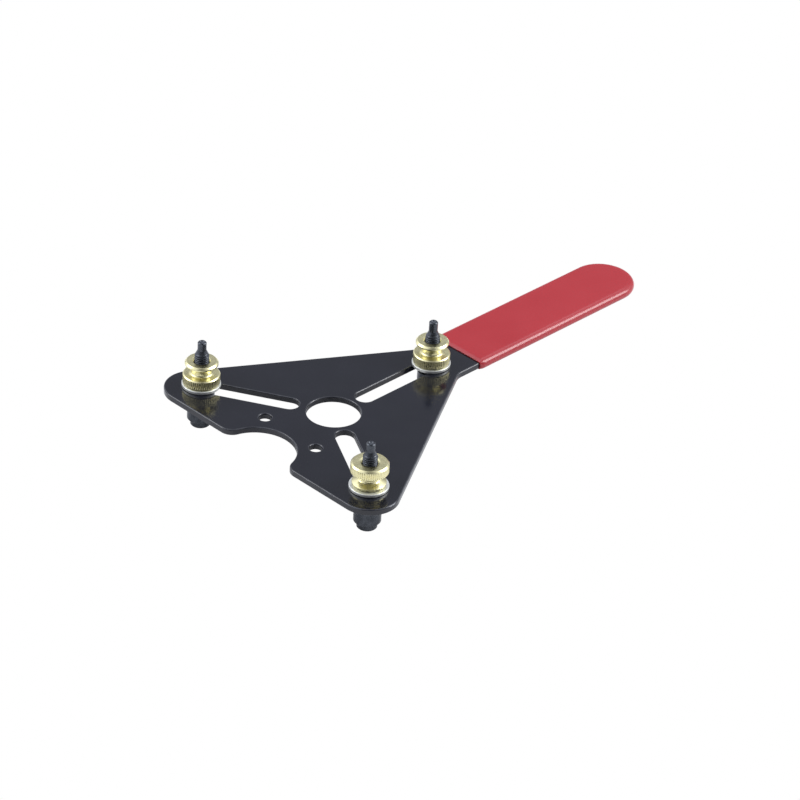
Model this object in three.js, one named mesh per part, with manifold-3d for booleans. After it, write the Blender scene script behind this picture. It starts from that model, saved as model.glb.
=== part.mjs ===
// An adjustable three-pin spanner, also used to hold round hubs: a flat steel plate with a dipped grip,
// three straight slots around a round hole, and in each slot a reversible double-ended pin that a
// washer and a brass thumb nut clamp to the plate.
//
// Lengths are millimetres and +Z is up. The shapes are drawn in the plate's own frame, whose origin is
// the centre of the round hole in the plate's top face, with +X towards the handle. The whole tool is
// then moved so that its origin is the middle of its footprint, on the surface that the pins stand on.

import * as THREE from "three";
import { mergeVertices } from "three/addons/utils/BufferGeometryUtils.js";
import Module from "manifold-3d";

const degrees = THREE.MathUtils.degToRad;

// ---- Plate ----
const PLATE_THICKNESS = 3.0;
const FRONT_X = -49.1; // the straight front edge
const LONG_EDGE_LEAN = degrees(30.6); // each long edge against the handle's axis
const LONG_EDGE_Y0 = 55.5; // where the long edges cross the Y axis
const CORNER_R = 14.2;
const NOTCH_R = 19.0; // the round notch in the front edge
const NOTCH_X = -49.9;
const NOTCH_SHOULDER_R = 6.6; // the rounding from the notch to the front edge
const HUB_HOLE_R = 13.0;
const SMALL_HOLE_R = 3.1;
const SMALL_HOLE_X = -27.7;
const SMALL_HOLE_YS = [17.6, -16.8];

// ---- Slots ----
const SLOT_ANGLE = degrees(119.35); // the two slanted slots, each way from the handle's axis
const SLOT_HALF_WIDTH = 4.75;
const SLOT_OUTER_R = 67.4; // centres of the slots' outer round ends, from the hole's centre

// ---- Handle and grip ----
const HANDLE_HALF_WIDTH = 14.75;
const NECK_FILLET_R = 9.0;
const GRIP_START_X = 83.6;
const GRIP_HALF_WIDTH = 16.4;
const GRIP_THICKNESS = 5.6;
const GRIP_END_X = 203.5;
const GRIP_EDGE_R = 1.9;
const GRIP_CLEARANCE = 0.1; // between the coat and the steel in it
const TIP_CENTRE_X = GRIP_END_X - GRIP_HALF_WIDTH; // centre of the handle's round end

// ---- Heights over the plate's top face ----
const SEAT_GAP = 0.1; // between faces that are clamped together
const WASHER_TOP_Z = 1.7;
const NUT_TOP_Z = 13.7;
const COLLAR_BOTTOM_Z = -18.4;
const PIN_BOTTOM_Z = -21.75;

// ---- Washer ----
const WASHER_OUTER_R = 9.4;
const WASHER_INNER_R = 4.2;

// ---- Thumb nut ----
const NUT_BORE_R = 3.75;
const NUT_HEIGHT = NUT_TOP_Z - WASHER_TOP_Z - SEAT_GAP;
const KNURL_R = 8.95;
const KNURL_CHAMFER = 0.5; // towards the nut's neck
const KNURL_FACE_CHAMFER = 0.8; // towards the nut's knurled face
const KNURL_FLANGE_HEIGHT = 5.1;
const NECK_R = 4.8;
const DISC_R = 8.05;
const DISC_RIM_HEIGHT = 0.7; // the upright part of the plain disc's edge
const DISC_CHAMFER = 0.85;
const DISC_CONE_RISE = 1.7; // how far the cone under the plain disc rises to its rim

// ---- Pin ----
const THREAD_R = 3.5;
const THREAD_END_R = 3.25;
const THREAD_CHAMFER = 0.4;
const TIP_R = 2.15;
const TIP_CONE_HEIGHT = 2.4;
const TIP_CHAMFER = 0.45;
const COLLAR_R = 6.5;
const COLLAR_CHAMFER = 0.5;
const LOWER_PIN_R = 4.85;
const LOWER_PIN_CHAMFER = 0.4;

// ---- Facets ----
const ARC_FACETS = 14; // on each arc of an outline
const ROUND_FACETS = 40; // around a turned piece
const EDGE_FACETS = 3; // around the grip's rounded edge

// Each slot's inner end, and where its pin stands: its distance from the hole's centre along the slot,
// and how far the thread lies from the slot's centre line, as the threads are narrower than the slots.
// tipTopZ and coneTopZ are the heights of the pin's narrow end and of the top of the cone under it.
// One nut is fitted with its knurled flange uppermost, and the other two with it down.
const STATIONS = [
  {
    side: "left",
    angle: SLOT_ANGLE,
    slotInnerR: 21.8,
    radius: 66.0,
    play: -0.9,
    tipTopZ: 24.1,
    coneTopZ: 19.8,
    knurlUp: false,
  },
  {
    side: "right",
    angle: -SLOT_ANGLE,
    slotInnerR: 21.0,
    radius: 64.5,
    play: -0.15,
    tipTopZ: 24.1,
    coneTopZ: 19.8,
    knurlUp: true,
  },
  {
    side: "rear",
    angle: 0,
    slotInnerR: 20.7,
    radius: 65.3,
    play: 0.0,
    tipTopZ: 24.0,
    coneTopZ: 18.8,
    knurlUp: false,
  },
];

const STEEL_PAINT = new THREE.MeshStandardMaterial({ color: 0x33353d, roughness: 0.3, metalness: 0.1 });
const VINYL = new THREE.MeshStandardMaterial({ color: 0xb3262d, roughness: 0.35, metalness: 0 });
const BLACK_OXIDE = new THREE.MeshStandardMaterial({ color: 0x2a2c34, roughness: 0.4, metalness: 0.8 });
const BRASS = new THREE.MeshStandardMaterial({ color: 0xb9a55c, roughness: 0.3, metalness: 1 });
const ZINC = new THREE.MeshStandardMaterial({ color: 0xb9bcc0, roughness: 0.35, metalness: 1 });

const wasm = await Module();
wasm.setup();

// A closed geometry as a manifold-3d solid.
function solidOf(geometry) {
  const bare = geometry.clone();
  bare.deleteAttribute("normal");
  bare.deleteAttribute("uv");
  const merged = mergeVertices(bare, 1e-4);
  const triVerts = new Uint32Array(merged.index.array);
  const vertProperties = new Float32Array(merged.attributes.position.array);
  return new wasm.Manifold(new wasm.Mesh({ numProp: 3, vertProperties, triVerts }));
}

// A manifold-3d solid back as a geometry.
function geometryOf(solid) {
  const mesh = solid.getMesh();
  const geometry = new THREE.BufferGeometry();
  geometry.setAttribute("position", new THREE.BufferAttribute(mesh.vertProperties, 3));
  geometry.setIndex(new THREE.BufferAttribute(mesh.triVerts, 1));
  geometry.computeVertexNormals();
  return geometry;
}

function namedMesh(name, geometry, material) {
  const mesh = new THREE.Mesh(geometry, material);
  mesh.name = name;
  return mesh;
}

// A solid of revolution about +Z from [radius, height] points.
function turned(profile) {
  const points = profile.map(([r, z]) => new THREE.Vector2(r, z));
  return new THREE.LatheGeometry(points, ROUND_FACETS).rotateX(Math.PI / 2);
}

function roundHole(x, y, radius) {
  const path = new THREE.Path();
  path.absarc(x, y, radius, 0, Math.PI, false);
  path.absarc(x, y, radius, Math.PI, 2 * Math.PI, false);
  return path;
}

// A straight slot with round ends, on a line through the hole's centre.
function slotHole({ angle, slotInnerR }) {
  const inner = new THREE.Vector2(slotInnerR, 0).rotateAround(new THREE.Vector2(), angle);
  const outer = new THREE.Vector2(SLOT_OUTER_R, 0).rotateAround(new THREE.Vector2(), angle);
  const quarter = Math.PI / 2;
  const path = new THREE.Path();
  path.absarc(outer.x, outer.y, SLOT_HALF_WIDTH, angle - quarter, angle + quarter, false);
  path.absarc(inner.x, inner.y, SLOT_HALF_WIDTH, angle + quarter, angle + 3 * quarter, false);
  return path;
}

// The plate's outline, anticlockwise from the handle's round end.
function plateOutline() {
  const lean = LONG_EDGE_LEAN;
  const quarter = Math.PI / 2;
  const cornerX = FRONT_X + CORNER_R;
  const cornerY = LONG_EDGE_Y0 - Math.tan(lean) * cornerX - CORNER_R / Math.cos(lean);
  const filletY = HANDLE_HALF_WIDTH + NECK_FILLET_R;
  const edgeDistance = LONG_EDGE_Y0 * Math.cos(lean) + NECK_FILLET_R;
  const filletX = (edgeDistance - filletY * Math.cos(lean)) / Math.sin(lean);
  const shoulderX = FRONT_X + NOTCH_SHOULDER_R;
  const shoulderReach = NOTCH_R + NOTCH_SHOULDER_R;
  const shoulderY = Math.sqrt(shoulderReach ** 2 - (shoulderX - NOTCH_X) ** 2);
  const sweep = Math.atan2(shoulderY, shoulderX - NOTCH_X);
  const shape = new THREE.Shape();
  shape.absarc(TIP_CENTRE_X, 0, HANDLE_HALF_WIDTH, -quarter, quarter, false);
  shape.absarc(filletX, filletY, NECK_FILLET_R, -quarter, -quarter - lean, true);
  shape.absarc(cornerX, cornerY, CORNER_R, quarter - lean, Math.PI, false);
  shape.absarc(shoulderX, shoulderY, NOTCH_SHOULDER_R, Math.PI, Math.PI + sweep, false);
  shape.absarc(NOTCH_X, 0, NOTCH_R, sweep, -sweep, true);
  shape.absarc(shoulderX, -shoulderY, NOTCH_SHOULDER_R, Math.PI - sweep, Math.PI, false);
  shape.absarc(cornerX, -cornerY, CORNER_R, Math.PI, 3 * quarter + lean, false);
  shape.absarc(filletX, -filletY, NECK_FILLET_R, quarter + lean, quarter, true);
  shape.closePath();
  return shape;
}

function makePlate() {
  const shape = plateOutline();
  shape.holes.push(roundHole(0, 0, HUB_HOLE_R));
  for (const y of SMALL_HOLE_YS) shape.holes.push(roundHole(SMALL_HOLE_X, y, SMALL_HOLE_R));
  for (const station of STATIONS) shape.holes.push(slotHole(station));
  const options = { depth: PLATE_THICKNESS, bevelEnabled: false, curveSegments: ARC_FACETS };
  const geometry = new THREE.ExtrudeGeometry(shape, options);
  geometry.translate(0, 0, -PLATE_THICKNESS);
  return namedMesh("plate", geometry, STEEL_PAINT);
}

// A bar outline with a square start and a round end.
function barOutline(startX, halfWidth) {
  const shape = new THREE.Shape();
  shape.moveTo(startX, halfWidth);
  shape.lineTo(startX, -halfWidth);
  shape.absarc(TIP_CENTRE_X, 0, halfWidth, -Math.PI / 2, Math.PI / 2, false);
  shape.closePath();
  return shape;
}

// The dipped coat: a sleeve with rounded edges, closed round the handle's end and open at its start.
function makeGrip() {
  const middleZ = -PLATE_THICKNESS / 2;
  const outer = new THREE.ExtrudeGeometry(barOutline(GRIP_START_X - 2 * GRIP_EDGE_R, GRIP_HALF_WIDTH), {
    depth: GRIP_THICKNESS - 2 * GRIP_EDGE_R,
    bevelThickness: GRIP_EDGE_R,
    bevelSize: GRIP_EDGE_R,
    bevelOffset: -GRIP_EDGE_R,
    bevelSegments: EDGE_FACETS,
    curveSegments: 2 * ARC_FACETS,
  });
  outer.translate(0, 0, middleZ - GRIP_THICKNESS / 2 + GRIP_EDGE_R);
  const pocketDepth = PLATE_THICKNESS + 2 * GRIP_CLEARANCE;
  const pocketOutline = barOutline(GRIP_START_X - 4 * GRIP_EDGE_R, HANDLE_HALF_WIDTH + GRIP_CLEARANCE);
  const pocketOptions = { depth: pocketDepth, bevelEnabled: false, curveSegments: 2 * ARC_FACETS };
  const pocket = new THREE.ExtrudeGeometry(pocketOutline, pocketOptions);
  pocket.translate(0, 0, middleZ - pocketDepth / 2);
  const trimLength = 8 * GRIP_EDGE_R;
  const trim = new THREE.BoxGeometry(trimLength, 3 * GRIP_HALF_WIDTH, 3 * GRIP_THICKNESS);
  trim.translate(GRIP_START_X - trimLength / 2, 0, middleZ);
  const coat = solidOf(outer).subtract(solidOf(pocket)).subtract(solidOf(trim));
  return namedMesh("grip", geometryOf(coat), VINYL);
}

function makeWasher(side) {
  const bottom = SEAT_GAP;
  const top = WASHER_TOP_Z;
  const profile = [
    [WASHER_INNER_R, bottom],
    [WASHER_OUTER_R, bottom],
    [WASHER_OUTER_R, top],
    [WASHER_INNER_R, top],
    [WASHER_INNER_R, bottom],
  ];
  return namedMesh(side + "_washer", turned(profile), ZINC);
}

// The nut's outer profile from its knurled face at height 0 to the plain disc's face, closed on its bore.
function nutProfile() {
  const flangeTop = KNURL_FLANGE_HEIGHT;
  const rimTop = NUT_HEIGHT - DISC_CHAMFER;
  const rimBottom = rimTop - DISC_RIM_HEIGHT;
  return [
    [NUT_BORE_R, 0],
    [KNURL_R - KNURL_FACE_CHAMFER, 0],
    [KNURL_R, KNURL_FACE_CHAMFER],
    [KNURL_R, flangeTop - KNURL_CHAMFER],
    [KNURL_R - KNURL_CHAMFER, flangeTop],
    [NECK_R, flangeTop],
    [NECK_R, rimBottom - DISC_CONE_RISE],
    [DISC_R, rimBottom],
    [DISC_R, rimTop],
    [DISC_R - DISC_CHAMFER, NUT_HEIGHT],
    [NUT_BORE_R, NUT_HEIGHT],
    [NUT_BORE_R, 0],
  ];
}

function makeNut(side, knurlUp) {
  const profile = nutProfile();
  const placed = knurlUp ? profile.map(([r, z]) => [r, NUT_HEIGHT - z]).reverse() : profile;
  const mesh = namedMesh(side + "_thumb_nut", turned(placed), BRASS);
  mesh.position.z = WASHER_TOP_Z + SEAT_GAP;
  return mesh;
}

// The pin from its wide end up: wide end, collar, thread, cone and narrow end.
function makePin({ side, tipTopZ, coneTopZ }) {
  const collarTop = -PLATE_THICKNESS - SEAT_GAP;
  const threadEnd = coneTopZ - TIP_CONE_HEIGHT;
  const profile = [
    [0, PIN_BOTTOM_Z],
    [LOWER_PIN_R - LOWER_PIN_CHAMFER, PIN_BOTTOM_Z],
    [LOWER_PIN_R, PIN_BOTTOM_Z + LOWER_PIN_CHAMFER],
    [LOWER_PIN_R, COLLAR_BOTTOM_Z],
    [COLLAR_R - COLLAR_CHAMFER, COLLAR_BOTTOM_Z],
    [COLLAR_R, COLLAR_BOTTOM_Z + COLLAR_CHAMFER],
    [COLLAR_R, collarTop],
    [THREAD_R, collarTop],
    [THREAD_R, threadEnd - THREAD_CHAMFER],
    [THREAD_END_R, threadEnd],
    [TIP_R, coneTopZ],
    [TIP_R, tipTopZ - TIP_CHAMFER],
    [TIP_R - TIP_CHAMFER, tipTopZ],
    [0, tipTopZ],
  ];
  return namedMesh(side + "_pin", turned(profile), BLACK_OXIDE);
}

// One pin with its washer and nut, standing in its slot.
function makeStation(station) {
  const { side, angle, radius, play, knurlUp } = station;
  const group = new THREE.Group();
  const place = new THREE.Vector2(radius, play).rotateAround(new THREE.Vector2(), angle);
  group.position.set(place.x, place.y, 0);
  group.add(makePin(station), makeWasher(side), makeNut(side, knurlUp));
  return group;
}

const tool = new THREE.Group();
tool.add(makePlate(), makeGrip());
for (const station of STATIONS) tool.add(makeStation(station));
tool.position.set(-(FRONT_X + GRIP_END_X) / 2, 0, -PIN_BOTTOM_Z);

const spanner = new THREE.Group();
spanner.add(tool);

export default spanner;
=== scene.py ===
"""The looks of the adjustable three-pin spanner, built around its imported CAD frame.

Each CAD node is replaced by a finer piece of the same size: the plate with rolled edges, the dipped grip,
pins with a real helical thread, knurled thumb nuts and washers. Places, heights and thicknesses come from
the CAD nodes' boxes, and the dimensions of outlines and profiles are named here.
Shapes are drawn in millimetres, the plate and grip about the hub hole's centre with +X towards the handle,
and the turned pieces about their own axes. They are then scaled to metres and moved to their places.
"""

import math

import bpy
from mathutils import Matrix, Vector
from mathutils.geometry import tessellate_polygon


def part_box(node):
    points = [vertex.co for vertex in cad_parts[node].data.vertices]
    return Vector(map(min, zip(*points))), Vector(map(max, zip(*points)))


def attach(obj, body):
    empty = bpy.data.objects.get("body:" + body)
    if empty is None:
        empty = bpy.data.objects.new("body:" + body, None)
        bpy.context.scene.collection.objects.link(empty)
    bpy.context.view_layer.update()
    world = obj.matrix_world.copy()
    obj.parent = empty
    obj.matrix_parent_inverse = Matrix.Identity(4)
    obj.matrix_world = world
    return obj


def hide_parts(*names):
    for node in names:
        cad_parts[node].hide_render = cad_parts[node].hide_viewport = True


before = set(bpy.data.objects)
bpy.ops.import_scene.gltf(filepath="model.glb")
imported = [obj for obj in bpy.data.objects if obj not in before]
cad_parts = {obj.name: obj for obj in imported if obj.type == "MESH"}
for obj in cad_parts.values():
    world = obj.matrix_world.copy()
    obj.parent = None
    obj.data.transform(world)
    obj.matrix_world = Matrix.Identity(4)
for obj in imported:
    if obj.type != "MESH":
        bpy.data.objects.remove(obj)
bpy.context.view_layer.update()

MM = 0.001
QUARTER = math.pi / 2
SIDES = ("left", "right", "rear")
KNURL_UP = {"left": False, "right": True, "rear": False}  # whether the nut's knurled flange is uppermost

# ---- Plate outline, millimetres ----
FRONT_X = -49.1
LONG_EDGE_LEAN = math.radians(30.6)
LONG_EDGE_Y0 = 55.5
CORNER_R = 14.2
NOTCH_R = 19.0
NOTCH_X = -49.9
NOTCH_SHOULDER_R = 6.6
HUB_HOLE_R = 13.0
SMALL_HOLE_R = 3.1
SMALL_HOLE_X = -27.7
SMALL_HOLE_YS = (17.6, -16.8)
SLOT_ANGLE = math.radians(119.35)
SLOT_HALF_WIDTH = 4.75
SLOT_OUTER_R = 67.4
SLOTS = ((SLOT_ANGLE, 21.8), (-SLOT_ANGLE, 21.0), (0, 20.7))  # direction, distance to the inner end
HANDLE_HALF_WIDTH = 14.75
NECK_FILLET_R = 9.0
GRIP_START_X = 83.6
GRIP_HALF_WIDTH = 16.4
GRIP_END_X = 203.5
TIP_CENTRE_X = GRIP_END_X - GRIP_HALF_WIDTH
TOP_EDGE_R = 0.7
UNDER_EDGE_R = 0.25
HOLE_STEPS = 96  # steps round a round hole
SLOT_END_STEPS = 32  # steps round each end of a slot
END_STEPS = 48  # steps round the handle's end, the grip's end and the notch

# ---- Places from the frame ----
PLATE_LOW, PLATE_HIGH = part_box("plate")
GRIP_LOW, GRIP_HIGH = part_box("grip")
# the hub hole's centre in the plate's top face
DECK = Vector((PLATE_LOW.x - FRONT_X * MM, (PLATE_LOW.y + PLATE_HIGH.y) / 2, PLATE_HIGH.z))
PLATE_THICKNESS = (PLATE_HIGH.z - PLATE_LOW.z) / MM
GRIP_THICKNESS = (GRIP_HIGH.z - GRIP_LOW.z) / MM

# ---- Camera, from DECK, in millimetres ----
CAMERA_AT = Vector((-1050.66, -1037.95, 950.898))
CAMERA_RIGHT = Vector((0.70872599, -0.70387118, 0.04767417))
CAMERA_FORWARD = Vector((0.61197057, 0.5797564, -0.53793544))
CAMERA_LENS = 167.67


def make_camera():
    data = bpy.data.cameras.new("camera")
    data.sensor_width = 36.0
    data.lens = CAMERA_LENS
    data.clip_start = 0.01
    data.clip_end = 50.0
    camera = bpy.data.objects.new("camera", data)
    bpy.context.scene.collection.objects.link(camera)
    forward = CAMERA_FORWARD.normalized()
    right = (CAMERA_RIGHT - forward * CAMERA_RIGHT.dot(forward)).normalized()
    up = right.cross(forward)
    turn = Matrix((right, up, -forward)).transposed()
    camera.matrix_world = Matrix.Translation(DECK + CAMERA_AT * MM) @ turn.to_4x4()
    bpy.context.scene.camera = camera


make_camera()


# ---- Mesh helpers ----


def add_piece(name, points, faces, material, origin, body, node):
    """A smooth mesh of points in millimetres about origin. It rides on a body and replaces a CAD node."""
    mesh = bpy.data.meshes.new(name)
    mesh.from_pydata([tuple(c * MM for c in p) for p in points], [], faces)
    mesh.validate()
    mesh.polygons.foreach_set("use_smooth", [True] * len(mesh.polygons))
    mesh.materials.append(material)
    piece = bpy.data.objects.new(name, mesh)
    bpy.context.scene.collection.objects.link(piece)
    piece.location = origin
    weighted = piece.modifiers.new("face weighted normals", "WEIGHTED_NORMAL")
    weighted.mode = "FACE_AREA"
    weighted.weight = 80
    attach(piece, body)
    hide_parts(node)
    return piece


def arc(x, y, radius, start, end, steps):
    """Points (x, y) on an arc, both ends included."""
    turns = [start + (end - start) * i / steps for i in range(steps + 1)]
    return [(x + radius * math.cos(a), y + radius * math.sin(a)) for a in turns]


def merged_close(points, faces, distance=1e-4):
    """The same mesh with coincident points merged and empty faces dropped."""
    seen = {}
    index = []
    kept = []
    for p in points:
        key = tuple(round(c / distance) for c in p)
        if key not in seen:
            seen[key] = len(kept)
            kept.append(p)
        index.append(seen[key])
    clean = []
    for face in faces:
        loop = []
        for i in (index[i] for i in face):
            if i not in loop:
                loop.append(i)
        if len(loop) > 2:
            clean.append(loop)
    return kept, clean


# ---- Plate ----


def plate_outline(inset):
    """The plate's outline, anticlockwise, drawn in from its true edge by inset."""
    lean = LONG_EDGE_LEAN
    corner_x = FRONT_X + CORNER_R
    corner_y = LONG_EDGE_Y0 - math.tan(lean) * corner_x - CORNER_R / math.cos(lean)
    fillet_y = HANDLE_HALF_WIDTH + NECK_FILLET_R
    edge_distance = LONG_EDGE_Y0 * math.cos(lean) + NECK_FILLET_R
    fillet_x = (edge_distance - fillet_y * math.cos(lean)) / math.sin(lean)
    shoulder_x = FRONT_X + NOTCH_SHOULDER_R
    reach = NOTCH_R + NOTCH_SHOULDER_R
    shoulder_y = math.sqrt(reach**2 - (shoulder_x - NOTCH_X) ** 2)
    sweep = math.atan2(shoulder_y, shoulder_x - NOTCH_X)
    corner = CORNER_R - inset
    shoulder = NOTCH_SHOULDER_R - inset
    fillet = NECK_FILLET_R + inset
    points = arc(TIP_CENTRE_X, 0, HANDLE_HALF_WIDTH - inset, -QUARTER, QUARTER, END_STEPS)
    points += arc(fillet_x, fillet_y, fillet, -QUARTER, -QUARTER - lean, 12)
    points += arc(corner_x, corner_y, corner, QUARTER - lean, math.pi, 40)
    points += arc(shoulder_x, shoulder_y, shoulder, math.pi, math.pi + sweep, 20)
    points += arc(NOTCH_X, 0, NOTCH_R + inset, sweep, -sweep, END_STEPS)[1:-1]
    points += arc(shoulder_x, -shoulder_y, shoulder, math.pi - sweep, math.pi, 20)
    points += arc(corner_x, -corner_y, corner, math.pi, 3 * QUARTER + lean, 40)
    points += arc(fillet_x, -fillet_y, fillet, QUARTER + lean, QUARTER, 12)
    return points


def round_hole(x, y, radius, inset):
    """A round hole's edge, clockwise."""
    return arc(x, y, radius + inset, 2 * math.pi, 0, HOLE_STEPS)[:-1]


def slot_hole(angle, inner, inset):
    """The clockwise edge of a slot that runs out from the hub hole at angle, from inner to SLOT_OUTER_R."""
    radius = SLOT_HALF_WIDTH + inset
    inner_x, inner_y = inner * math.cos(angle), inner * math.sin(angle)
    outer_x, outer_y = SLOT_OUTER_R * math.cos(angle), SLOT_OUTER_R * math.sin(angle)
    points = arc(outer_x, outer_y, radius, angle + QUARTER, angle - QUARTER, SLOT_END_STEPS)
    points += arc(inner_x, inner_y, radius, angle - QUARTER, angle - 3 * QUARTER, SLOT_END_STEPS)
    return points


def plate_loops(inset):
    """Every edge of the plate, outline first, each drawn into the steel by inset."""
    loops = [plate_outline(inset), round_hole(0, 0, HUB_HOLE_R, inset)]
    loops += [round_hole(SMALL_HOLE_X, y, SMALL_HOLE_R, inset) for y in SMALL_HOLE_YS]
    loops += [slot_hole(angle, inner, inset) for angle, inner in SLOTS]
    return loops


def plate_levels():
    """(inset, height) pairs down the plate's edge, with the two rolled corners."""
    steps = 5
    levels = []
    for i in range(steps + 1):
        turn = QUARTER * i / steps
        levels.append((TOP_EDGE_R * (1 - math.sin(turn)), -TOP_EDGE_R * (1 - math.cos(turn))))
    for i in range(steps + 1):
        turn = QUARTER * i / steps
        height = -PLATE_THICKNESS + UNDER_EDGE_R * (1 - math.sin(turn))
        levels.append((UNDER_EDGE_R * (1 - math.cos(turn)), height))
    return levels


def make_plate(material):
    """The steel: walls down from level to level round every edge, closed by a top and an underside."""
    points = []
    faces = []
    starts = []
    levels = plate_levels()
    for inset, height in levels:
        starts.append(len(points))
        for loop in plate_loops(inset):
            points += [(x, y, height) for x, y in loop]
    lengths = [len(loop) for loop in plate_loops(0)]
    for upper, lower in zip(starts, starts[1:]):
        first = 0
        for length in lengths:
            for i in range(length):
                j = (i + 1) % length
                faces.append((upper + first + i, lower + first + i, lower + first + j, upper + first + j))
            first += length
    for start, (inset, height), facing in ((starts[0], levels[0], 1), (starts[-1], levels[-1], -1)):
        loops = [[Vector((x, y, 0)) for x, y in loop] for loop in plate_loops(inset)]
        for a, b, c in tessellate_polygon(loops):
            pa, pb, pc = (Vector(points[start + i][:2]) for i in (a, b, c))
            upward = (pb - pa).cross(pc - pa) > 0
            corners = (a, b, c) if upward == (facing > 0) else (c, b, a)
            faces.append(tuple(start + i for i in corners))
    return add_piece("plate_steel", points, faces, material, DECK, "frame", "plate")


# ---- Grip ----

COAT_CROWN = 0.1  # how much the coat's faces rise to their middle line
COAT_SHOULDER_R = 7.0  # the gentle first stretch of the coat's edge
COAT_SHOULDER_TURN = math.radians(12)
COAT_LIP = 0.45  # the coat's thickness at its very start, as a share of its full thickness
COAT_LIP_LENGTH = 2.8
COAT_STARTS = (0.0, 0.3, 0.7, 1.2, 1.7, 2.2, 2.8, 8.0)  # where its first stretch has points
COAT_LENGTH_STEPS = 14  # steps from there to the round end
COAT_WIDTHS = (0.02, 0.25, 0.5, 0.75, 0.9)  # where its faces have points, as shares of the half width
COAT_SHOULDER_STEPS = 4
COAT_SIDE_STEPS = 14
POCKET_GAP = 0.08  # between the steel and the coat
POCKET_CORNER = 0.05
POCKET_SQUARENESS = 0.02  # the lower, the squarer the pocket's corner


def bar_path(half_width):
    """A bar's outline from its start along -Y, round its end and back along +Y, without the start edge."""
    xs = [GRIP_START_X + start for start in COAT_STARTS]
    first = xs[-1]
    reach = TIP_CENTRE_X - first
    xs += [first + reach * i / COAT_LENGTH_STEPS for i in range(1, COAT_LENGTH_STEPS)]
    side = [(x, -half_width) for x in xs]
    path = side + arc(TIP_CENTRE_X, 0, half_width, -QUARTER, QUARTER, END_STEPS)
    return path + [(x, -y) for x, y in reversed(side)]


def coat_edge(half_depth):
    """(distance in from the side, height) pairs from face to side: a gentle arc, then a tight one."""
    turn = COAT_SHOULDER_TURN
    drop = COAT_SHOULDER_R * (1 - math.cos(turn))
    tight = (half_depth - drop) / math.cos(turn)
    points = []
    for i in range(COAT_SHOULDER_STEPS):
        t = turn * i / COAT_SHOULDER_STEPS
        reach = tight * (1 - math.sin(turn)) + COAT_SHOULDER_R * (math.sin(turn) - math.sin(t))
        points.append((reach, half_depth - COAT_SHOULDER_R * (1 - math.cos(t))))
    for i in range(COAT_SIDE_STEPS + 1):
        t = turn + (QUARTER - turn) * i / COAT_SIDE_STEPS
        points.append((tight * (1 - math.sin(t)), tight * math.cos(t)))
    return points


def coat_levels(half_width, half_depth, crown):
    """(half width, height) pairs from the top's middle line round the edge to the underside's."""
    edge = coat_edge(half_depth - crown)
    inner = half_width - edge[0][0]
    upper = [(inner * f, half_depth - crown * f * f) for f in COAT_WIDTHS]
    upper += [(half_width - reach, height) for reach, height in edge]
    return upper + [(w, -z) for w, z in reversed(upper[:-1])]


def pocket_levels(half_width, half_depth):
    """The same number of levels round the square pocket that holds the steel."""
    upper = [(half_width * f, half_depth) for f in COAT_WIDTHS]
    steps = COAT_SHOULDER_STEPS + COAT_SIDE_STEPS
    for i in range(steps):
        t = QUARTER * i / steps
        width = half_width - POCKET_CORNER * (1 - math.sin(t))
        upper.append((width, half_depth * math.cos(t) ** POCKET_SQUARENESS))
    upper.append((half_width, 0.0))
    return upper + [(w, -z) for w, z in reversed(upper[:-1])]


def lip_share(x):
    """How thick the coat is at x, as a share of its full thickness: it swells from a thin start."""
    t = min(max((x - GRIP_START_X) / COAT_LIP_LENGTH, 0.0), 1.0)
    return COAT_LIP + (1 - COAT_LIP) * math.sin(QUARTER * t)


def thinned(x, y, z):
    """A point on the coat, drawn in towards the steel near the coat's start."""
    share = lip_share(x)
    depth = PLATE_THICKNESS / 2
    side = HANDLE_HALF_WIDTH
    if abs(z) > depth:
        z = math.copysign(depth + (abs(z) - depth) * share, z)
    if abs(y) > side:
        y = math.copysign(side + (abs(y) - side) * share, y)
    return x, y, z


def make_grip(material):
    """The coat: an outer skin and a pocket inside it, joined round the coat's start."""
    outer = coat_levels(GRIP_HALF_WIDTH, GRIP_THICKNESS / 2, COAT_CROWN)
    inner = pocket_levels(HANDLE_HALF_WIDTH + POCKET_GAP, PLATE_THICKNESS / 2 + POCKET_GAP)
    points = []
    rows = []
    for levels, thin in ((outer, True), (inner, False)):
        for width, height in levels:
            row = []
            for x, y in bar_path(width):
                row.append(len(points))
                points.append(thinned(x, y, height) if thin else (x, y, height))
            rows.append(row)
    count = len(outer)
    length = len(rows[0])
    faces = []
    for first, flip in ((0, False), (count, True)):
        for k in range(first, first + count - 1):
            for i in range(length - 1):
                face = (rows[k][i], rows[k + 1][i], rows[k + 1][i + 1], rows[k][i + 1])
                faces.append(face[::-1] if flip else face)
        # the narrow gap along the middle line, on top and underneath
        for k, turned in ((first, flip), (first + count - 1, not flip)):
            for i in range(length // 2):
                j = length - 1 - i
                if j - i > 1:
                    face = (rows[k][i], rows[k][i + 1], rows[k][j - 1], rows[k][j])
                    faces.append(face[::-1] if turned else face)
    # the rim at the coat's start, down both sides and then across the middle
    for k in range(count - 1):
        faces.append((rows[k][0], rows[count + k][0], rows[count + k + 1][0], rows[k + 1][0]))
        faces.append((rows[k + 1][-1], rows[count + k + 1][-1], rows[count + k][-1], rows[k][-1]))
    for k, flip in ((0, False), (count - 1, True)):
        face = (rows[k][0], rows[k][-1], rows[count + k][-1], rows[count + k][0])
        faces.append(face[::-1] if flip else face)
    points, faces = merged_close(points, faces)
    middle = DECK - Vector((0, 0, PLATE_THICKNESS / 2 * MM))
    return add_piece("grip_coat", points, faces, material, middle, "frame", "grip")


# ---- Turned pieces ----


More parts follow.
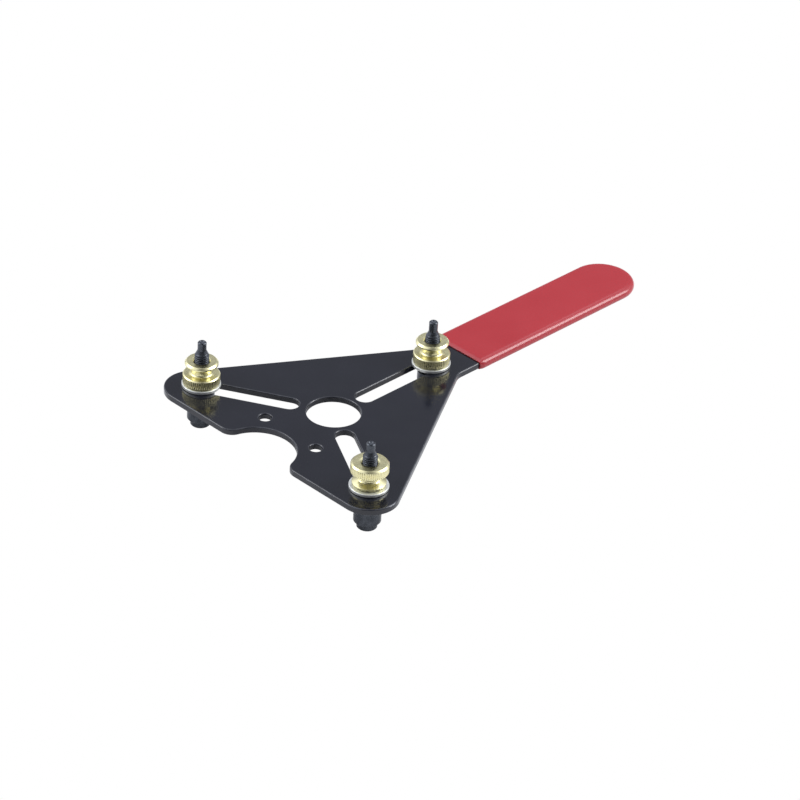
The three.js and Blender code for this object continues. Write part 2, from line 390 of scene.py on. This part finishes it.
def rounded(profile, steps=6):
    """(radius, height) points of a profile of (radius, height, corner radius). Its two ends stay sharp."""
    points = []
    for i, (r, z, corner) in enumerate(profile):
        here = Vector((r, z))
        if corner <= 0 or i in (0, len(profile) - 1):
            points.append((r, z))
            continue
        before = Vector(profile[i - 1][:2]) - here
        after = Vector(profile[i + 1][:2]) - here
        half_angle = before.angle(after) / 2
        setback = min(corner / math.tan(half_angle), 0.49 * before.length, 0.49 * after.length)
        a = here + before.normalized() * setback
        b = here + after.normalized() * setback
        for s in range(steps + 1):
            t = s / steps
            p = a * (1 - t) ** 2 + here * 2 * t * (1 - t) + b * t**2
            points.append((p.x, p.y))
    return points


def lathe_rows(profile, columns, radius_at=None):
    """Rows of points round +Z. radius_at(radius, height, turn) may change a point's radius."""
    rows = []
    for r, z in profile:
        row = []
        for c in range(columns):
            turn = 2 * math.pi * c / columns
            radius = radius_at(r, z, turn) if radius_at else r
            row.append((radius * math.cos(turn), radius * math.sin(turn), z))
        rows.append(row)
    return rows


def mesh_of_rows(rows, closed=False, low_cap=False, high_cap=False):
    """Points and faces between rings of equal length. closed joins the last ring to the first."""
    columns = len(rows[0])
    points = [p for row in rows for p in row]
    faces = []
    count = len(rows)
    for k in range(count if closed else count - 1):
        low, high = k * columns, ((k + 1) % count) * columns
        for c in range(columns):
            d = (c + 1) % columns
            faces.append((low + c, low + d, high + d, high + c))
    if low_cap:
        faces.append(tuple(range(columns))[::-1])
    if high_cap:
        faces.append(tuple((count - 1) * columns + c for c in range(columns)))
    return points, faces


def axis_of(side):
    """Where a pin's axis meets the plate's top face."""
    low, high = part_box(side + "_pin")
    middle = (low + high) / 2
    return Vector((middle.x, middle.y, DECK.z))


def heights_of(node):
    """A node's lowest and highest point over the plate's top face, in millimetres."""
    low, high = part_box(node)
    return (low.z - DECK.z) / MM, (high.z - DECK.z) / MM


# ---- Washer ----

WASHER_BORE_R = 4.2
WASHER_BULGE = 0.02  # how much the rim bulges at half height over its lower edge
WASHER_COLUMNS = 96


def make_washer(side, material):
    """A stamped washer, its upper edge rounder than its lower one."""
    node = side + "_washer"
    low, high = heights_of(node)
    box_low, box_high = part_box(node)
    outer = (box_high.x - box_low.x) / 2 / MM
    profile = [
        (WASHER_BORE_R, low, 0),
        (outer - WASHER_BULGE, low, 0.35),
        (outer, (low + high) / 2, 0.2),
        (outer, high, 0.5),
        (WASHER_BORE_R, high, 0.3),
        (WASHER_BORE_R, low, 0),
    ]
    rows = lathe_rows(rounded(profile)[:-1], WASHER_COLUMNS)
    points, faces = mesh_of_rows(rows, closed=True)
    name = node + "_zinc"
    return add_piece(name, points, faces, material, axis_of(side), side + "_carriage", node)


# ---- Thumb nut ----

KNURLS = 54
KNURL_R = 8.95
KNURL_DEPTH = 0.42
KNURL_HALF_CUT = 0.30  # half a groove's width, as a share of the distance from tooth to tooth
KNURL_RUNOUT = 0.9  # the height in which a groove deepens at the face's end, and half of it at the neck's
KNURL_COLUMNS = 8  # columns of points for each tooth
FLANGE_HEIGHT = 5.1
FACE_CHAMFER = 0.8
NECK_CHAMFER = 0.5
NECK_R = 4.8
DISC_R = 8.05
DISC_RIM = 0.7  # the height of the disc's straight rim
DISC_CHAMFER = 0.85
DISC_CONE_RISE = 1.7  # the height of the cone from the neck out to the disc's rim
NUT_BORE_R = 3.75
NUT_COUNTERSINK = 0.6
NUT_LONGEST_STEP = 1.2


def knurled(radius, height, turn):
    """A point's radius once the knurled flange's wall has its V grooves."""
    if radius < KNURL_R - FACE_CHAMFER:
        return radius
    phase = turn * KNURLS / (2 * math.pi) % 1.0
    cut = max(0.0, 1 - abs(phase - 0.5) / KNURL_HALF_CUT)
    from_face = (height - FACE_CHAMFER) / KNURL_RUNOUT
    from_neck = (FLANGE_HEIGHT - NECK_CHAMFER - height) / KNURL_RUNOUT
    share = min(max(min(from_face, 2 * from_neck), 0.0), 1.0)
    return radius - KNURL_DEPTH * cut * share


def nut_profile(height):
    """The nut's closed profile: from its knurled face at 0 up to its plain face, then down its bore."""
    rim_top = height - DISC_CHAMFER
    rim_bottom = rim_top - DISC_RIM
    sink_r = NUT_BORE_R + NUT_COUNTERSINK
    corners = [
        (sink_r, 0, 0),
        (KNURL_R - FACE_CHAMFER, 0, 0.25),
        (KNURL_R, FACE_CHAMFER, 0.2),
        (KNURL_R, FACE_CHAMFER + KNURL_RUNOUT, 0),
        (KNURL_R, FLANGE_HEIGHT - NECK_CHAMFER - KNURL_RUNOUT / 2, 0),
        (KNURL_R, FLANGE_HEIGHT - NECK_CHAMFER, 0.08),
        (KNURL_R - NECK_CHAMFER, FLANGE_HEIGHT, 0.3),
        (NECK_R, FLANGE_HEIGHT, 1.7),
        (NECK_R, rim_bottom - DISC_CONE_RISE, 1.6),
        (DISC_R, rim_bottom, 0.12),
        (DISC_R, rim_top, 0.25),
        (DISC_R - DISC_CHAMFER, height, 0.2),
        (sink_r, height, 0.1),
        (NUT_BORE_R, height - NUT_COUNTERSINK, 0.1),
        (NUT_BORE_R, NUT_COUNTERSINK, 0.1),
        (sink_r, 0, 0),
    ]
    return rounded(corners)[:-1]


def subdivided(profile, longest):
    """The closed profile with points added so that no step is longer than longest."""
    points = []
    for a, b in zip(profile, profile[1:] + profile[:1]):
        points.append(a)
        gap = math.dist(a, b)
        extra = int(gap / longest)
        for i in range(1, extra + 1):
            t = i / (extra + 1)
            points.append((a[0] + (b[0] - a[0]) * t, a[1] + (b[1] - a[1]) * t))
    return points


def make_nut(side, material):
    """A thumb nut, drawn with its knurled face down and turned over where that face is uppermost."""
    node = side + "_thumb_nut"
    low, high = heights_of(node)
    height = high - low
    profile = subdivided(nut_profile(height), NUT_LONGEST_STEP)
    columns = KNURLS * KNURL_COLUMNS
    rows = lathe_rows(profile, columns, knurled)
    if KNURL_UP[side]:
        rows = [[(x, y, height - z) for x, y, z in row] for row in reversed(rows)]
    points, faces = mesh_of_rows(rows, closed=True)
    origin = axis_of(side) + Vector((0, 0, low * MM))
    return add_piece(node + "_brass", points, faces, material, origin, side + "_nut", node)


# ---- Pin ----

PITCH = 1.0
THREAD_R = 3.5
THREAD_DEPTH = 0.72
THREAD_HALF_GROOVE = 0.45  # half the groove's width at its mouth, as a share of the pitch
THREAD_FLANK = 0.38  # the width of one sloping side of the groove, as a share of the pitch
THREAD_COLUMNS = 64
THREAD_ROWS = 12  # rows of points in one pitch
THREAD_END_R = 3.25  # where the thread's small chamfer meets the cone
THREAD_CHAMFER = 0.3
CONE_TOP = {"left": 19.8, "right": 19.8, "rear": 18.8}  # over the plate's top face
CONE_HEIGHT = 2.4
TIP_R = 2.15
TIP_CHAMFER = 0.45
DIMPLE_R = 1.3
DIMPLE_FLOOR_R = 0.3
DIMPLE_DEPTH = 0.9
WIDE_END_R = 4.85
WIDE_END_CHAMFER = 0.4
COLLAR_R = 6.5
COLLAR_CHAMFER = 0.5
COLLAR_BOTTOM = -18.4
COLLAR_GAP = 0.1  # between the collar and the plate's underside


def thread_cut(phase):
    """How deep the groove is at a phase of the pitch, from 0 at the crest to 1 at the root."""
    away = abs(phase - 0.5)
    return min(max((THREAD_HALF_GROOVE - away) / THREAD_FLANK, 0.0), 1.0)


def blank_radius(z, cone_top):
    """The pin's radius at height z before the thread is cut: the shank, its chamfer and the cone."""
    thread_top = cone_top - CONE_HEIGHT
    if z <= thread_top - THREAD_CHAMFER:
        return THREAD_R
    if z <= thread_top:
        return THREAD_END_R + (THREAD_R - THREAD_END_R) * (thread_top - z) / THREAD_CHAMFER
    return TIP_R + (THREAD_END_R - TIP_R) * (cone_top - z) / CONE_HEIGHT


def thread_rows(low, cone_top):
    """Points and faces of the threaded shank and its cone, in rows that climb with the helix.

    Rows past either end lie flat on it, and the groove grows to its full depth in the first pitch.
    """
    points = []
    total = math.ceil((cone_top - low) / PITCH * THREAD_ROWS)
    numbers = {}
    for row in range(-THREAD_ROWS, total + 1):
        for c in range(THREAD_COLUMNS):
            lead = c / THREAD_COLUMNS
            z = low + PITCH * (row / THREAD_ROWS + lead)
            z = min(max(z, low), cone_top)
            phase = ((z - low) / PITCH - lead) % 1.0
            ramp_in = min((z - low) / PITCH, 1.0)
            r = min(blank_radius(z, cone_top), THREAD_R - THREAD_DEPTH * thread_cut(phase) * ramp_in)
            turn = 2 * math.pi * lead
            numbers[row, c] = len(points)
            points.append((r * math.cos(turn), r * math.sin(turn), z))
    faces = []
    for row in range(-THREAD_ROWS, total):
        for c in range(THREAD_COLUMNS):
            ahead, climb = (c + 1, 0) if c + 1 < THREAD_COLUMNS else (0, THREAD_ROWS)
            corners = [(row, c), (row + climb, ahead), (row + 1 + climb, ahead), (row + 1, c)]
            if all(corner in numbers for corner in corners):
                faces.append(tuple(numbers[corner] for corner in corners))
    return points, faces


def make_pin(side, material):
    """A double-ended pin: its wide end and collar, its thread and cone, and its dimpled narrow end."""
    node = side + "_pin"
    low, high = heights_of(node)
    collar_top = -PLATE_THICKNESS - COLLAR_GAP
    cone_top = CONE_TOP[side]
    lower = [
        (WIDE_END_R - WIDE_END_CHAMFER, low, 0),
        (WIDE_END_R, low + WIDE_END_CHAMFER, 0.15),
        (WIDE_END_R, COLLAR_BOTTOM, 0.15),
        (COLLAR_R - COLLAR_CHAMFER, COLLAR_BOTTOM, 0.1),
        (COLLAR_R, COLLAR_BOTTOM + COLLAR_CHAMFER, 0.3),
        (COLLAR_R, collar_top, 0.2),
        (THREAD_R, collar_top, 0),
    ]
    upper = [
        (TIP_R, cone_top, 0),
        (TIP_R, high - TIP_CHAMFER, 0.12),
        (TIP_R - TIP_CHAMFER, high, 0.1),
        (DIMPLE_R, high, 0.05),
        (DIMPLE_FLOOR_R, high - DIMPLE_DEPTH, 0),
    ]
    bottom_rows = lathe_rows(rounded(lower), THREAD_COLUMNS)
    bottom_points, bottom_faces = mesh_of_rows(bottom_rows, low_cap=True)
    top_rows = lathe_rows(rounded(upper), THREAD_COLUMNS)
    top_points, top_faces = mesh_of_rows(top_rows, high_cap=True)
    screw_points, screw_faces = thread_rows(collar_top, cone_top)
    points = bottom_points + screw_points + top_points
    after_bottom = len(bottom_points)
    after_screw = after_bottom + len(screw_points)
    faces = bottom_faces
    faces += [tuple(i + after_bottom for i in f) for f in screw_faces]
    faces += [tuple(i + after_screw for i in f) for f in top_faces]
    points, faces = merged_close(points, faces)
    name = node + "_steel"
    return add_piece(name, points, faces, material, axis_of(side), side + "_pin", node)


# ---- Material helpers ----


def new_material(name):
    """A material and its principled shader, joined to the output."""
    material = bpy.data.materials.new(name)
    material.use_nodes = True
    nodes = material.node_tree.nodes
    nodes.clear()
    shader = nodes.new("ShaderNodeBsdfPrincipled")
    output = nodes.new("ShaderNodeOutputMaterial")
    material.node_tree.links.new(shader.outputs["BSDF"], output.inputs["Surface"])
    return material, shader


class Graph:
    """Short calls for adding nodes to a material."""

    def __init__(self, material):
        self.tree = material.node_tree
        self.place = self.tree.nodes.new("ShaderNodeTexCoord").outputs["Object"]

    def link(self, source, socket):
        self.tree.links.new(source, socket)

    def noise(self, scale, detail=3.0, roughness=0.5, where=None):
        node = self.tree.nodes.new("ShaderNodeTexNoise")
        node.inputs["Scale"].default_value = scale
        node.inputs["Detail"].default_value = detail
        node.inputs["Roughness"].default_value = roughness
        self.link(where or self.place, node.inputs["Vector"])
        return node.outputs["Fac"]

    def stretched(self, scale):
        node = self.tree.nodes.new("ShaderNodeMapping")
        node.inputs["Scale"].default_value = scale
        self.link(self.place, node.inputs["Vector"])
        return node.outputs["Vector"]

    def spread(self, source, low, high, out_low, out_high):
        """The source's range from low to high, spread over out_low to out_high and held there beyond it."""
        node = self.tree.nodes.new("ShaderNodeMapRange")
        node.inputs["From Min"].default_value = low
        node.inputs["From Max"].default_value = high
        node.inputs["To Min"].default_value = out_low
        node.inputs["To Max"].default_value = out_high
        self.link(source, node.inputs["Value"])
        return node.outputs["Result"]

    def maths(self, operation, a, b=0.0):
        node = self.tree.nodes.new("ShaderNodeMath")
        node.operation = operation
        for value, socket in ((a, node.inputs[0]), (b, node.inputs[1])):
            if isinstance(value, (int, float)):
                socket.default_value = value
            else:
                self.link(value, socket)
        return node.outputs["Value"]

    def mix(self, factor, a, b):
        node = self.tree.nodes.new("ShaderNodeMix")
        node.data_type = "RGBA"
        self.link(factor, node.inputs["Factor"])
        for value, socket in ((a, node.inputs["A"]), (b, node.inputs["B"])):
            if isinstance(value, tuple):
                socket.default_value = (*value, 1)
            else:
                self.link(value, socket)
        return node.outputs["Result"]

    def bump(self, height, distance, strength):
        node = self.tree.nodes.new("ShaderNodeBump")
        node.inputs["Strength"].default_value = strength
        node.inputs["Distance"].default_value = distance
        self.link(height, node.inputs["Height"])
        return node.outputs["Normal"]

    def facing_up(self):
        """How far a surface faces upwards: 1 on top, 0 on a wall."""
        parts = self.tree.nodes.new("ShaderNodeSeparateXYZ")
        self.link(self.tree.nodes.new("ShaderNodeNewGeometry").outputs["Normal"], parts.inputs["Vector"])
        return parts.outputs["Z"]

    def distance_from(self, point):
        """Distance from a point in the piece's own space, in metres."""
        node = self.tree.nodes.new("ShaderNodeVectorMath")
        node.operation = "DISTANCE"
        node.inputs[1].default_value = point
        self.link(self.place, node.inputs[0])
        return node.outputs["Value"]

    def radius_and_height(self):
        """Distance from the piece's own vertical axis, and height along it, in metres."""
        parts = self.tree.nodes.new("ShaderNodeSeparateXYZ")
        self.link(self.place, parts.inputs["Vector"])
        x, y = parts.outputs["X"], parts.outputs["Y"]
        squares = self.maths("ADD", self.maths("MULTIPLY", x, x), self.maths("MULTIPLY", y, y))
        return self.maths("SQRT", squares), parts.outputs["Z"]


# ---- Materials ----


KNOCKED_CORNER = (-0.0315, -0.0705, 0.0)  # where the plate's edge is chipped, in metres from the hub hole


def black_enamel():
    """Charcoal stoved enamel: glossy, faintly smudged, and rubbed through to grey along its top edges."""
    material, shader = new_material("black enamel")
    g = Graph(material)
    cloud = g.spread(g.noise(35.0, 4.0), 0.3, 0.7, 0.0, 1.0)
    paint = g.mix(cloud, (0.0052, 0.0058, 0.0098), (0.0074, 0.0081, 0.0132))
    facing = g.facing_up()
    off_wall = g.spread(facing, 0.20, 0.45, 0.0, 1.0)
    off_top = g.spread(facing, 0.80, 0.97, 1.0, 0.0)
    on_edge = g.maths("MULTIPLY", off_wall, off_top)
    rubbed = g.spread(g.noise(140.0, 4.0, 0.6), 0.45, 0.75, 0.05, 0.35)
    knocked = g.spread(g.distance_from(KNOCKED_CORNER), 0.006, 0.012, 0.14, 0.0)
    chipped = g.spread(g.maths("ADD", g.noise(620.0, 3.0, 0.6), knocked), 0.66, 0.70, 0.0, 1.0)
    wear = g.maths("MULTIPLY", on_edge, g.maths("MAXIMUM", rubbed, chipped))
    g.link(g.mix(wear, paint, (0.20, 0.21, 0.23)), shader.inputs["Base Color"])
    gloss = g.spread(g.noise(60.0, 6.0, 0.6), 0.35, 0.7, 0.12, 0.19)
    g.link(g.maths("ADD", gloss, g.maths("MULTIPLY", wear, 0.3)), shader.inputs["Roughness"])
    g.link(g.bump(g.noise(55.0, 1.0), 0.00001, 0.3), shader.inputs["Normal"])
    shader.inputs["IOR"].default_value = 1.5
    return material


def red_vinyl():
    """Soft dipped vinyl: deep red with a waxy gloss and a slightly uneven skin."""
    material, shader = new_material("red vinyl")
    g = Graph(material)
    cloud = g.spread(g.noise(22.0, 3.0), 0.3, 0.7, 0.0, 1.0)
    g.link(g.mix(cloud, (0.318, 0.0135, 0.019), (0.346, 0.0190, 0.025)), shader.inputs["Base Color"])
    g.link(g.spread(g.noise(90.0, 5.0), 0.3, 0.7, 0.21, 0.25), shader.inputs["Roughness"])
    g.link(g.bump(g.noise(30.0, 1.0), 0.00002, 0.2), shader.inputs["Normal"])
    shader.inputs["IOR"].default_value = 1.5
    return material


def black_oxide():
    """Turned steel under a thin blue-black oxide."""
    material, shader = new_material("black oxide steel")
    g = Graph(material)
    cloud = g.spread(g.noise(420.0, 4.0), 0.3, 0.7, 0.0, 1.0)
    g.link(g.mix(cloud, (0.040, 0.045, 0.053), (0.074, 0.081, 0.093)), shader.inputs["Base Color"])
    shader.inputs["Metallic"].default_value = 0.7
    g.link(g.spread(g.noise(900.0, 3.0), 0.3, 0.7, 0.22, 0.34), shader.inputs["Roughness"])
    turning = g.noise(900.0, 2.0, 0.5, g.stretched((0.02, 0.02, 6.0)))
    g.link(g.bump(turning, 0.000006, 0.35), shader.inputs["Normal"])
    return material


def brass():
    """Machined brass, dulled a little, with the rings of the turning tool on its faces."""
    material, shader = new_material("turned brass")
    g = Graph(material)
    cloud = g.spread(g.noise(180.0, 4.0, 0.6), 0.3, 0.7, 0.0, 1.0)
    g.link(g.mix(cloud, (0.68, 0.63, 0.35), (0.79, 0.74, 0.44)), shader.inputs["Base Color"])
    shader.inputs["Metallic"].default_value = 1.0
    g.link(g.spread(g.noise(300.0, 3.0), 0.3, 0.7, 0.24, 0.34), shader.inputs["Roughness"])
    radius, height = g.radius_and_height()
    rings = g.tree.nodes.new("ShaderNodeCombineXYZ")
    g.link(radius, rings.inputs["X"])
    g.link(height, rings.inputs["Y"])
    turning = g.noise(2600.0, 1.0, 0.5, rings.outputs["Vector"])
    g.link(g.bump(turning, 0.000002, 0.15), shader.inputs["Normal"])
    return material


def zinc():
    """Bright zinc plating with a faint crystalline mottle."""
    material, shader = new_material("zinc plate")
    g = Graph(material)
    mottle = g.noise(900.0, 4.0, 0.6)
    tone = g.spread(mottle, 0.3, 0.7, 0.0, 1.0)
    g.link(g.mix(tone, (0.66, 0.67, 0.63), (0.80, 0.81, 0.77)), shader.inputs["Base Color"])
    shader.inputs["Metallic"].default_value = 0.65
    g.link(g.spread(g.noise(600.0, 4.0), 0.3, 0.7, 0.30, 0.42), shader.inputs["Roughness"])
    g.link(g.bump(mottle, 0.000003, 0.3), shader.inputs["Normal"])
    return material


# ---- Studio ----

FLOOR_COLOUR = (0.70, 0.70, 0.70, 1)  # the paper that lights the tool and shows in its gloss
FLOOR_GLOW = 0.15
FLOOR_HALF_SIZE = 6.0
FLOOR_DROP = 0.0001  # so that the pins' flat ends and the floor are not in one plane
WALL_LEVEL = 0.07  # the brightness of the studio away from its glows
WALL_COLOUR = (0.90, 0.93, 1.04, 1)
RIGHT_BOX = Vector((0.61, -0.50, 0.60))
LEFT_BOX = Vector((-0.485, 0.621, 0.60))
BOX_DISTANCE = 2.0


def make_floor():
    """Pure white to the camera, lit paper to the tool, and clear from below to show the underside."""
    size = FLOOR_HALF_SIZE
    mesh = bpy.data.meshes.new("floor")
    low = -FLOOR_DROP
    corners = [(-size, -size, low), (size, -size, low), (size, size, low), (-size, size, low)]
    mesh.from_pydata(corners, [], [(0, 1, 2, 3)])
    material = bpy.data.materials.new("floor")
    material.use_nodes = True
    nodes = material.node_tree.nodes
    nodes.clear()
    seen = nodes.new("ShaderNodeEmission")
    glow = nodes.new("ShaderNodeEmission")
    glow.inputs["Strength"].default_value = FLOOR_GLOW
    paper = nodes.new("ShaderNodeBsdfDiffuse")
    paper.inputs["Color"].default_value = FLOOR_COLOUR
    lit = nodes.new("ShaderNodeAddShader")
    choice = nodes.new("ShaderNodeMixShader")
    clear = nodes.new("ShaderNodeBsdfTransparent")
    side = nodes.new("ShaderNodeNewGeometry")
    sided = nodes.new("ShaderNodeMixShader")
    rays = nodes.new("ShaderNodeLightPath")
    output = nodes.new("ShaderNodeOutputMaterial")
    links = material.node_tree.links
    links.new(paper.outputs["BSDF"], lit.inputs[0])
    links.new(glow.outputs["Emission"], lit.inputs[1])
    links.new(rays.outputs["Is Camera Ray"], choice.inputs["Fac"])
    links.new(lit.outputs["Shader"], choice.inputs[1])
    links.new(seen.outputs["Emission"], choice.inputs[2])
    links.new(side.outputs["Backfacing"], sided.inputs["Fac"])
    links.new(choice.outputs["Shader"], sided.inputs[1])
    links.new(clear.outputs["BSDF"], sided.inputs[2])
    links.new(sided.outputs["Shader"], output.inputs["Surface"])
    mesh.materials.append(material)
    floor = bpy.data.objects.new("floor", mesh)
    bpy.context.scene.collection.objects.link(floor)


def add_lobe(tree, direction, axis, inner, outer, level):
    """A soft round patch of sky about axis: full within inner degrees and gone at outer degrees."""
    dot = tree.nodes.new("ShaderNodeVectorMath")
    dot.operation = "DOT_PRODUCT"
    dot.inputs[1].default_value = Vector(axis).normalized()
    tree.links.new(direction, dot.inputs[0])
    edge = tree.nodes.new("ShaderNodeMapRange")
    edge.interpolation_type = "SMOOTHSTEP"
    edge.inputs["From Min"].default_value = math.cos(math.radians(outer))
    edge.inputs["From Max"].default_value = math.cos(math.radians(inner))
    edge.inputs["To Max"].default_value = level
    tree.links.new(dot.outputs["Value"], edge.inputs["Value"])
    return edge.outputs["Result"]


def make_world():
    """A dim studio with soft glows behind the tool, over it and about the two lamps."""
    world = bpy.data.worlds.new("studio")
    world.use_nodes = True
    tree = world.node_tree
    tree.nodes.clear()
    direction = tree.nodes.new("ShaderNodeTexCoord").outputs["Generated"]
    # each glow's direction, the angles where it starts to fade and is gone, and its level
    lobes = [
        ((0.62, 0.58, 0.54), 22, 60, 0.38),
        ((0.61, 0.38, 0.70), 2, 9, 1.6),
        ((0.25, 0.25, 0.93), 5, 24, 1.2),
        (RIGHT_BOX, 18, 55, 1.2),
        (LEFT_BOX, 32, 62, 1.25),
    ]
    total = None
    for axis, inner, outer, level in lobes:
        patch = add_lobe(tree, direction, axis, inner, outer, level)
        if total is None:
            total = patch
            continue
        add = tree.nodes.new("ShaderNodeMath")
        tree.links.new(total, add.inputs[0])
        tree.links.new(patch, add.inputs[1])
        total = add.outputs["Value"]
    base = tree.nodes.new("ShaderNodeMath")
    base.inputs[1].default_value = WALL_LEVEL
    tree.links.new(total, base.inputs[0])
    background = tree.nodes.new("ShaderNodeBackground")
    background.inputs["Color"].default_value = WALL_COLOUR
    tree.links.new(base.outputs["Value"], background.inputs["Strength"])
    output = tree.nodes.new("ShaderNodeOutputWorld")
    tree.links.new(background.outputs["Background"], output.inputs["Surface"])
    bpy.context.scene.world = world


def add_softbox(name, direction, width, height, radiance):
    """A rectangular lamp aimed at the tool, of an even brightness over its face."""
    data = bpy.data.lights.new(name, "AREA")
    data.shape = "RECTANGLE"
    data.size = width
    data.size_y = height
    data.energy = radiance * math.pi * width * height
    light = bpy.data.objects.new(name, data)
    bpy.context.scene.collection.objects.link(light)
    away = direction.normalized()
    light.location = away * BOX_DISTANCE
    light.rotation_mode = "QUATERNION"
    light.rotation_quaternion = (-away).to_track_quat("-Z", "Y")


def make_lights():
    add_softbox("right softbox", RIGHT_BOX, 0.85, 1.3, 8.5)
    add_softbox("left softbox", LEFT_BOX, 0.8, 1.2, 4.0)


# ---- Assembly ----

make_floor()
make_world()
make_lights()
bpy.context.scene.view_settings.view_transform = "Standard"

make_plate(black_enamel())
make_grip(red_vinyl())
STEEL = black_oxide()
BRASS = brass()
ZINC = zinc()
for side in SIDES:
    make_washer(side, ZINC)
    make_nut(side, BRASS)
    make_pin(side, STEEL)
